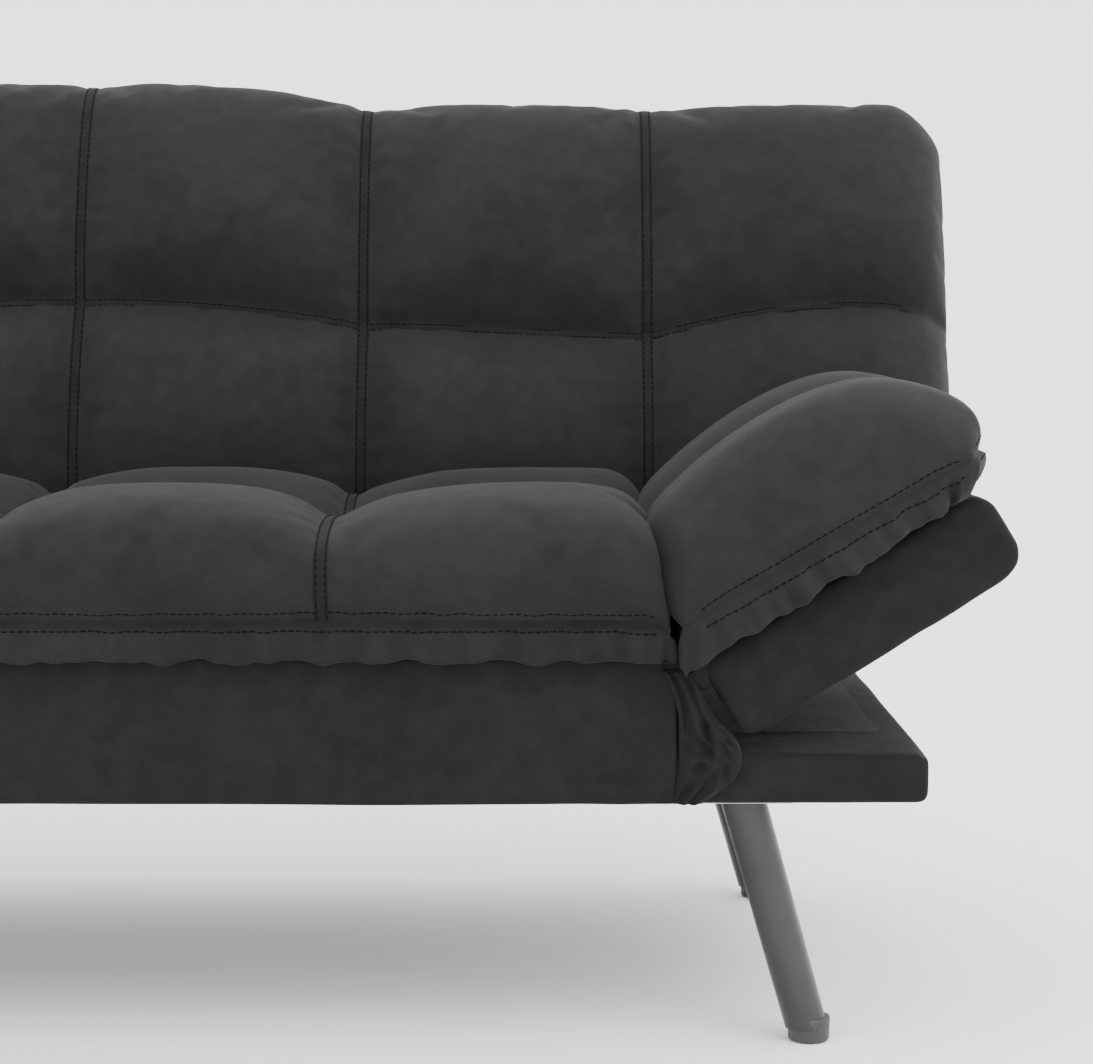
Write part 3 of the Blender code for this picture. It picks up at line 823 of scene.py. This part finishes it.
def round_corners(wide, tall, half, top, corner):
    """Rounds two corners of an outline (wide within +-half, tall up to top): square to disc."""
    dx = np.clip((np.abs(wide) - (half - corner)) / corner, 0, 1.2)
    dy = np.clip((tall - (top - corner)) / corner, 0, 1.2)
    both = (dx > 0) & (dy > 0)
    fx = dx * np.sqrt(np.clip(1 - dy ** 2 / 2, 0.3, 1))
    fy = dy * np.sqrt(np.clip(1 - dx ** 2 / 2, 0.3, 1))
    new_wide = np.where(both, np.sign(wide) * (half - corner + fx * corner), wide)
    return new_wide, np.where(both, top - corner + fy * corner, tall)


BACK_ROW, BACK_TOP = 0.2665, 0.5165  # row seam and top of the back pad, up the panel
PAD_CORNER = 0.055  # radius of a pad's rounded corners
ARCH = 0.026  # how far the middle of the top stands up
ROW_SWING, ROW_DIP = 0.032, 0.010  # the row seam's rise towards the ends, and its dip before them


def back_warp(points):
    """The arched top, the curved row seam and the rounded top corners of the backrest."""
    p = points.copy()
    x, up = np.abs(p[:, 0]), p[:, 1]
    arch = ARCH * np.clip(1 - (x / COLUMN) ** 2, 0, None)
    rise = smooth(up / BACK_ROW)
    t = np.clip((x - 2 * COLUMN) / (BACK_HALF - 2 * COLUMN), 0, 1)
    swing = ROW_SWING * np.sin(math.pi * np.minimum(t * 0.75, 1)) * (t > 0)
    swing = swing - ROW_DIP * smooth((x - COLUMN) / COLUMN)
    near_row = np.exp(-((up - BACK_ROW) / 0.11) ** 2)
    p[:, 1] = up + arch * rise + swing * near_row
    p[:, 0], p[:, 1] = round_corners(p[:, 0], p[:, 1], BACK_HALF, BACK_TOP, PAD_CORNER)
    return p


def back_quilt():
    crown = [(.026, .022), (.036, .052), (.054, .082), (.082, .105), (.125, .121), (.175, .125),
             (.220, .118), (.248, .106), (.2665, .090)]
    seam = [(.026, .022), (.038, .050), (.056, .074), (.084, .090), (.125, .100), (.175, .102),
            (.220, .098), (.248, .092), (.2665, .086)]
    top_crown = [(.2665, .090), (.285, .105), (.315, .118), (.36, .124), (.41, .121), (.455, .110),
                 (.490, .094), (.513, .074), (.522, .054), (.519, .034), (.510, .020)]
    top_seam = [(.2665, .086), (.285, .093), (.315, .099), (.36, .102), (.41, .100), (.455, .093),
                (.488, .082), (.507, .067), (.515, .050), (.514, .033), (.510, .020)]
    n1, n2 = int(0.29 / CELL), int(0.33 / CELL)
    crown_line = np.vstack([spline(crown, n1), spline(top_crown, n2)[1:]])
    seam_line = np.vstack([spline(seam, n1), spline(top_seam, n2)[1:]])
    share = np.linspace(0, 1, len(crown_line))
    end = np.stack([.026 + .486 * share, np.full(len(share), 0.022)], axis=1)
    seams = [k * COLUMN for k in (-2, -1, 0, 1, 2)]
    stations = end_refined(column_stations(seams, BACK_HALF, 0.085, CELL), BACK_HALF, 0.085)
    return Quilt("back_pad_cover", (seam_line, crown_line, end), stations, [n1 - 1], back_place,
                 seams, warp=back_warp)


def build_back_pad():
    quilt = back_quilt()
    skirt = skirt_of(0.004, 3, 0.002, 0.002, 21, groove=0.0015)
    obj = finished_pad(quilt, skirt, PAD_AIR, "back_pad")
    tapes = [(back_place(quilt.section(seam, 1.0, 0.0)[2:-2]), 1.0) for seam in quilt.column_seams]
    tapes.append((back_place(quilt.grid()[8:-8, quilt.pinned_rows[0]]), 0.72))
    sew_pad(obj, tapes, [], blend_crease)
    blend_crease(obj)
    return obj


ARM_ROWS = (-0.010, 0.206, 0.423)  # front edge, middle seam and rear edge of an arm pad
ARM_END, ARM_POWER = 0.075, 2.2  # how an arm pad turns down at its front and rear
ARM_SEAM_REACH = 0.085  # how far its middle seam pulls the cloth down


def arm_quilt(side, label):
    crown = [(-.002, .042), (-.010, .062), (-.008, .088), (.006, .112), (.031, .129), (.073, .139),
             (.128, .145), (.178, .1445), (.220, .137), (.248, .126), (.2695, .111), (.292, .087),
             (.305, .062), (.303, .045), (.293, .034)]
    seam = [(-.002, .042), (-.008, .058), (-.006, .080), (.008, .098), (.033, .108), (.073, .115),
            (.128, .119), (.178, .118), (.215, .112), (.242, .102), (.262, .090), (.282, .072),
            (.296, .054), (.298, .043), (.293, .034)]
    count = int(0.47 / CELL)
    crown_line, seam_line = spline(crown, count), spline(seam, count)
    share = np.linspace(0, 1, count)
    end = np.stack([-.002 + .295 * share, .042 - .008 * share], axis=1)
    front, middle, rear = ARM_ROWS
    stations = []
    count_a = int((middle - front) / CELL)
    for k in range(2 * count_a + 1):
        y = front + (middle - front) * k / count_a
        distance = min(y - front, rear - y)
        bulge = 1 - max(0.0, 1 - abs(y - middle) / ARM_SEAM_REACH) ** ARM_POWER
        rise = end_rise(max(distance, 0), ARM_END, ARM_POWER)
        stations.append((y, rise, bulge, k == count_a or rise == 0))
    for x in (0.0012, 0.004):
        stations.append((front + x, end_rise(x, ARM_END, ARM_POWER), 1.0, False))
        stations.append((rear - x, end_rise(x, ARM_END, ARM_POWER), 1.0, False))
    stations.sort()

    def warp(points):
        """The front and rear faces stand out a little between seam and crown."""
        p = points.copy()
        low = np.interp(p[:, 1], [-0.002, 0.293], [0.042, 0.034])
        share = np.clip((p[:, 2] - low) / 0.10, 0, 1)
        bulge = 0.013 * np.sin(math.pi * share) * smooth((p[:, 2] - low) / 0.03)
        near_front = smooth(1 - (p[:, 0] - front) / 0.05)
        near_rear = smooth(1 - (rear - p[:, 0]) / 0.05)
        p[:, 0] += bulge * (near_rear * 0.4 - near_front)
        centre = (front + rear) / 2
        wide, tall = round_corners(p[:, 0] - centre, p[:, 1], (rear - front) / 2, 0.305, PAD_CORNER)
        p[:, 0], p[:, 1] = wide + centre, tall
        return p

    return Quilt("arm_pad_cover_" + label, (seam_line, crown_line, end), stations, [],
                 arm_place(side), (middle,), swap=True, warp=warp)


def build_arm_pad(side, label):
    def drift(ring, t):
        """The band reaches in towards the seat, and turns under at the outer end."""
        out = ring[:, 0]
        inward = 0.020 * t * smooth((0.05 - out) / 0.05)
        ring[:, 0] = out - inward - 0.020 * t * t * smooth((out - 0.22) / 0.07)
        ring[:, 2] += 0.006 * t * smooth((out - 0.15) / 0.14)
        return ring

    quilt = arm_quilt(side, label)
    skirt = skirt_of(0.004, 6, 0.003, 0.0066, 31, drift=drift)
    obj = finished_pad(quilt, skirt, ARM_AIR, "arm_pad_" + label)
    place = arm_place(side)

    def follow(piece):
        start, end = place([(0.0, 0.2, 0.05)])[0], place([(0.13, 0.2, 0.05)])[0]
        tuple(start)
        tuple(end)
        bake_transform(piece)

    grid = quilt.grid()
    front, rear, outer = grid[0, 4:-2], grid[-1, 4:-2], grid[3:-3, -1]
    rows = []
    for edge, push in ((front, (0, -0.01, 0)), (rear, (0, 0.01, 0)), (outer, (0.01, 0, 0))):
        for shift in (-0.009, 0.004):
            line = edge + np.array(push) + np.array([0, 0, shift])
            rows.append(place(line))
    sew_pad(obj, [], rows, follow)
    follow(obj)
    return obj


# ---- covers, base and legs

def into_back(points):
    """Row-frame points to the backrest's own directions (x, up the panel, over it)."""
    p = np.asarray(points, float)
    c, s = math.cos(BACK_REST), math.sin(BACK_REST)
    dy, dz = p[:, 1] - BACK_PIVOT.y, p[:, 2] - BACK_PIVOT.z
    return np.stack([p[:, 0], dy * c + dz * s, dz * c - dy * s], axis=1)


def into_arm(points, side):
    p = np.asarray(points, float)
    c, s = math.cos(ARM_REST), math.sin(ARM_REST)
    dx, dz = side * p[:, 0] - ARM_PIVOT.x, p[:, 2] - ARM_PIVOT.z
    return np.stack([dx * c + dz * s, p[:, 1] - FRONT, dz * c - dx * s], axis=1)


def node_points(node):
    obj = frame["nodes"][node]
    return np.array([tuple(obj.matrix_world @ vertex.co) for vertex in obj.data.vertices])


def plain(points):
    return points


def build_seat_cover():
    """The smooth cover of the seat panel with its apron hanging in front of the base."""
    low, high = APRON_LOW, APRON_HIGH
    apron_depth = 0.012

    def apron(points, out):
        x, z = points[:, 0], points[:, 2]
        ends = smooth((np.abs(x) - (high.x - 0.16)) / 0.16)
        wave = 0.0010 * crumple(points, (5, 0, 9), 3) + ends * 0.0016 * crumple(points, (26, 0, 12), 4)
        drop = 0.0009 * crumple(points, (9, 0, 0), 5) * smooth((low.z + 0.03 - z) / 0.03)
        moved = points + out * np.array([0.2, 1.0, 0.2]) * wave[:, None]
        moved[:, 2] += drop
        return moved

    flap = soft_box("seat_apron", (low.x, low.y, low.z), (high.x, low.y + apron_depth, high.z),
                    0.0045, 0.009, plain, apron)
    dress(flap, SHADED_PANEL_CLOTH, "panel_suede", "base")
    panel_low = (low.x, low.y + 0.004, BASE_HIGH.z + 0.0018)
    panel = soft_box("seat_panel_cover", panel_low, (high.x, high.y, high.z), 0.008, 0.02, plain)
    dress(panel, SHADED_PANEL_CLOTH, "panel_suede", "base", "seat_cover")


def build_back_cover():
    local = into_back(node_points("back_cover"))
    low, high = local.min(axis=0), local.max(axis=0)
    corner = 0.05

    def shape(points, out):
        p = points + out * (0.0012 * crumple(points, (7, 7, 7), 8))[:, None]
        p[:, 0], p[:, 1] = round_corners(p[:, 0], p[:, 1], high[0], high[1], corner)
        return p

    obj = soft_box("back_panel_cover", low, high, 0.010, 0.016, back_place, shape)
    dress(obj, SHADED_PANEL_CLOTH, "panel_suede", "back", "back_cover")


def build_arm_cover(side, label):
    """The upholstered arm box, with a rounder outer end."""
    local = into_arm(node_points("arm_cover_" + label), side)
    low, high = local.min(axis=0), local.max(axis=0)
    middle = (low[2] + high[2]) / 2
    nose = 0.030

    def shape(points, out):
        p = points.copy()
        share = np.clip((p[:, 0] - (high[0] - nose)) / nose, 0, 1)
        slim = np.sqrt(1 - 0.62 * share ** 2)
        p[:, 2] = middle + (p[:, 2] - middle) * slim
        wave = 0.0012 * crumple(points, (9, 9, 14), 12) + 0.0011 * crumple(points, (34, 22, 10), 13)
        inner = smooth((low[0] + 0.09 - p[:, 0]) / 0.09)
        wave += inner * 0.0018 * crumple(points, (30, 18, 60), 14)
        wave = np.where(out[:, 2] < -0.3, -0.0004 - np.abs(wave), wave)  # clear of the base when flat
        return p + out * wave[:, None]

    obj = soft_box("arm_box_cover_" + label, low, high, 0.011, 0.009, arm_place(side), shape)
    dress(obj, SHADED_PANEL_CLOTH, "panel_suede", "arm_" + label, "arm_cover_" + label)


GUSSET_OUTLINE = ((0.574, 0.600), (0.585, 0.612), (0.592, 0.622), (0.592, 0.640), (0.592, 0.648),
                  (0.590, 0.640), (0.588, 0.612))  # from top to bottom: inner and outer x
GUSSET_FRONT = FRONT + 0.0225


def build_gusset(side, label):
    """Bunched cloth that joins the seat cover to the arm cover at the front corner."""
    tall, wide, deep = 34, 20, 0.030
    top, bottom = PANEL_TOP - 0.010, BASE_LOW.z + 0.0006
    rows = spline([(z, a, b) for z, (a, b) in zip(np.linspace(top, bottom, 7), GUSSET_OUTLINE)], tall)
    knot = np.array([0.628, 0.268])
    front, back = [], []
    for i, (z, inner, outer) in enumerate(rows):
        for j in range(wide):
            t = j / (wide - 1)
            x = inner + (outer - inner) * t
            radial = math.atan2(z - knot[1], x - knot[0])
            away = math.hypot(x - knot[0], z - knot[1])
            fold = 0.0050 * math.sin(11 * radial + 5 * away / 0.03) * math.exp(-(away / 0.05) ** 2)
            fold += 0.0032 * math.sin(math.tau * (t * 2.8 + i * 0.055))
            fold += 0.0040 * math.exp(-(away / 0.012) ** 2)
            edge = math.sin(math.pi * t) ** 0.4
            y = GUSSET_FRONT - 0.006 * edge + fold * edge
            front.append((x, y, z))
            back.append((x, GUSSET_FRONT + deep, z))
    points = np.array(front + back)
    points[:, 0] *= side
    count = tall * wide
    faces = []
    for i in range(tall - 1):
        for j in range(wide - 1):
            a = i * wide + j
            faces.append((a, a + 1, a + wide + 1, a + wide))
            faces.append((count + a, count + a + wide, count + a + wide + 1, count + a + 1))
    rim = list(range(wide)) + [i * wide + wide - 1 for i in range(1, tall)]
    rim += [(tall - 1) * wide + j for j in range(wide - 2, -1, -1)]
    rim += [i * wide for i in range(tall - 2, 0, -1)]
    for k in range(len(rim)):
        a, b = rim[k], rim[(k + 1) % len(rim)]
        faces.append((a, b, count + b, count + a))
    obj = mesh_object("corner_gusset_" + label, points, faces)
    face_out(obj)
    finish_soft(obj)
    paint(obj, SHADED_PANEL_CLOTH)
    start, end = (side * 0.592, 0, PANEL_TOP), (side * 0.650, 0, PANEL_TOP)
    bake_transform(obj)
    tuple(start)
    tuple(end)


def build_base():
    """Wrapped edge of the base slab and the lining over its middle."""
    low = np.array([min(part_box(n)[0][k] for n in BASE_WRAPS) for k in range(3)])
    high = np.array([max(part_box(n)[1][k] for n in BASE_WRAPS) for k in range(3)])

    def wrap(points, out):
        p = points.copy()
        front = smooth((low[1] + 0.16 - p[:, 1]) / 0.16)
        top = out[:, 2] > 0.5
        wave = 0.0007 * crumple(points, (11, 11, 11), 21)
        wave += np.where(top, -0.0008 + front * 0.0016 * crumple(points, (34, 12, 0), 22), 0)
        wave = np.where(top, np.minimum(wave, 0.0003), wave)
        return p + out * wave[:, None]

    obj = soft_box("base_wrap", low, high, 0.010, 0.012, plain, wrap)
    dress(obj, SHADED_PANEL_CLOTH, "panel_suede", "base", *BASE_WRAPS)
    cloth_low, cloth_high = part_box("base_top_cloth")

    def lie(points, out):
        p = points.copy()
        p[:, 1] += np.where(p[:, 1] < (low[1] + high[1]) / 2, 0.006 * crumple(points, (6, 0, 0), 23), 0)
        p[:, 2] += 0.0003 * crumple(points, (20, 20, 0), 24)
        return p

    lining = soft_box("base_lining", (cloth_low.x, cloth_low.y - 0.01, high[2] - 0.0022),
                      (cloth_high.x, cloth_high.y, high[2] + 0.0004), 0.0008, 0.02, plain, lie)
    dress(lining, LINING, "nonwoven_cloth", "base", "base_top_cloth")


def build_rails(nodes, body, place, into, inset, shape=None):
    """Planed rails with eased edges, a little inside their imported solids."""
    for node in nodes:
        local = into(node_points(node))
        low, high = local.min(axis=0) + np.array(inset), local.max(axis=0) - np.array(inset)
        spacing = 0.05 if shape is None else 0.015
        rail = soft_box("planed_" + node, low, high, 0.002, spacing, place, shape)
        dress(rail, SOFTWOOD, "frame_timber", body, node)


def rounded_rail(points, out):
    """Keeps the timber inside the rounded top corners of the back."""
    p = points.copy()
    p[:, 0], p[:, 1] = round_corners(p[:, 0], p[:, 1], BACK_HALF - 0.007, BACK_COVER_TOP - 0.009, 0.060)
    return p


def build_crease(side, label):
    """The folded cloth down in the crease between the seat pad and an arm pad."""
    low, high = (0.574, FRONT + 0.020, PANEL_TOP - 0.032), (0.624, FRONT + 0.395, PANEL_TOP + 0.020)

    def shape(points, out):
        p = points + out * (0.0025 * crumple(points, (22, 22, 60), 31))[:, None]
        p[:, 0] *= side
        return p

    obj = soft_box("crease_cloth_" + label, low, high, 0.012, 0.008, plain, shape)
    face_out(obj)
    paint(obj, SHADED_PANEL_CLOTH)
    start, end = (side * 0.590, 0, PANEL_TOP), (side * 0.628, 0, PANEL_TOP)
    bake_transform(obj)
    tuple(start)
    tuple(end)


BACK_COVER_TOP = into_back(node_points("back_cover")).max(axis=0)[1]
BASE_WRAPS = ("base_cover_front", "base_cover_rear", "base_cover_left", "base_cover_right")
LEG_TOP_RADIUS = 0.0205
LEG_FOOT_RADIUS = 0.0190
FOOT_OUTLINE = ((0.0, 0.84), (0.02, 0.93), (0.10, 0.99), (0.75, 1.02), (0.93, 1.03), (1.0, 1.0))


def lathe(name, start, end, outline, sides=48):
    """A turned piece from start to end: outline holds (share of the way, radius), horizontal rings."""
    points = []
    for share, radius in outline:
        centre = np.array(start) + (np.array(end) - np.array(start)) * share
        for turn in range(sides):
            angle = math.tau * turn / sides
            points.append(centre + radius * np.array([math.cos(angle), math.sin(angle), 0]))
    obj = mesh_object(name, points, tube_faces(len(outline), sides))
    face_out(obj)
    obj.data.set_sharp_from_angle(angle=math.radians(40))
    return obj


def build_leg(depth, side, label):
    node = "leg_" + depth + "_" + label
    low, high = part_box(node)
    foot_low, foot_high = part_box("foot_" + depth + "_" + label)
    y = (low.y + high.y) / 2
    xs = [abs(low.x), abs(high.x)]
    top_x = side * (min(xs) + LEG_TOP_RADIUS)
    foot_x = side * (max(xs) - LEG_FOOT_RADIUS)
    outline = [(0, LEG_TOP_RADIUS)]
    outline += [(t, LEG_TOP_RADIUS + (LEG_FOOT_RADIUS - LEG_TOP_RADIUS) * t) for t in (0.25, 0.5, 0.75, 1.0)]
    leg = lathe("tube_" + node, (top_x, y, high.z), (foot_x, y, low.z), outline)
    dress(leg, LEG_COAT, "leg_metal", "base", node)
    foot_radius = min((foot_high.y - foot_low.y) / 2, LEG_FOOT_RADIUS * 1.02) / 1.06
    centre_x = (foot_low.x + foot_high.x) / 2
    foot = lathe("cap_foot_" + depth + "_" + label, (centre_x, y, foot_low.z), (centre_x, y, foot_high.z),
                 [(t, r * foot_radius) for t, r in FOOT_OUTLINE])
    dress(foot, PLASTIC, "foot_plastic", "base", "foot_" + depth + "_" + label)


# ---- stage

def add_light(name, kind, place, aim, energy, size, colour=(1, 1, 1)):
    data = bpy.data.lights.new(name, kind)
    data.energy = energy
    data.color = colour
    if kind == "AREA":
        data.shape = "RECTANGLE"
        data.size, data.size_y = size
    obj = bpy.data.objects.new(name, data)
    obj.location = place
    obj.rotation_euler = (Vector(aim) - Vector(place)).to_track_quat("-Z", "Y").to_euler()
    bpy.context.scene.collection.objects.link(obj)
    return obj


def build_stage():
    """A pale floor that curves up into a wall far behind, so that no horizon shows."""
    bend, wall_y, height = 4.0, 14.0, 12.0
    profile = [(-30.0, 0.0)]
    for step in range(13):
        angle = math.pi / 2 * step / 12
        profile.append((wall_y - bend + bend * math.sin(angle), bend - bend * math.cos(angle)))
    profile.append((wall_y, height))
    points = [(x, y, z - 0.0005) for x in (-30, 30) for y, z in profile]
    count = len(profile)
    faces = [(k, count + k, count + k + 1, k + 1) for k in range(count - 1)]
    floor = mesh_object("floor", points, faces)
    paint(floor, backdrop("studio_floor"))
    world = bpy.data.worlds.new("studio")
    world.use_nodes = True
    sky = world.node_tree.nodes["Background"]
    sky.inputs["Color"].default_value = (1.0, 1.0, 1.0, 1.0)
    sky.inputs["Strength"].default_value = 3.2
    bpy.context.scene.world = world
    add_light("key", "AREA", (2.4, -2.6, 3.2), (0.2, -0.1, 0.4), 90, (2.4, 1.6))
    add_light("fill", "AREA", (-2.8, -3.0, 1.8), (0, 0, 0.4), 30, (2.4, 1.8))


CAMERA_X = 0.4805
CAMERA_BACK = 2.2  # in front of the pads
CAMERA_Z = 0.648
CAMERA_PITCH = math.radians(4.93)
FOCAL_PIXELS = 2640.0
IMAGE_WIDTH = 1093.0


def build_camera():
    data = bpy.data.cameras.new("camera")
    data.sensor_width = 36.0
    data.lens = data.sensor_width * FOCAL_PIXELS / IMAGE_WIDTH
    data.clip_end = 60.0
    camera = bpy.data.objects.new("camera", data)
    camera.location = (CAMERA_X, FRONT - CAMERA_BACK, CAMERA_Z)
    camera.rotation_euler = (math.pi / 2 - CAMERA_PITCH, 0, 0)
    bpy.context.scene.collection.objects.link(camera)
    bpy.context.scene.camera = camera


build_camera()
build_stage()
paint_frame()
build_seat_pad()
build_back_pad()
build_seat_cover()
build_back_cover()
build_base()
build_rails(("base_front_rail", "base_rear_rail", "base_side_rail_left", "base_side_rail_right"),
            "base", plain, plain, (0.003, 0.003, 0.003))
build_rails(("seat_front_rail", "seat_rear_rail", "seat_hinge_rail", "seat_side_rail_left",
             "seat_side_rail_right"),
            "base", plain, plain, (0.005, 0.006, 0.006))
build_rails(("back_top_rail", "back_bottom_rail", "back_side_stile_left", "back_side_stile_right",
             "back_hinge_stile_left", "back_hinge_stile_right"),
            "back", back_place, into_back, (0.004, 0.006, 0.010), rounded_rail)
for arm_side, arm_label in SIDES:
    build_arm_pad(arm_side, arm_label)
    build_arm_cover(arm_side, arm_label)
    build_gusset(arm_side, arm_label)
    build_crease(arm_side, arm_label)
    build_rails(["arm_" + rail + "_rail_" + arm_label for rail in ("front", "rear", "outer")],
                "arm_" + arm_label, arm_place(arm_side), lambda p, s=arm_side: into_arm(p, s),
                (0.005, 0.004, 0.010))
    for leg_depth in ("front", "rear"):
        build_leg(leg_depth, arm_side, arm_label)
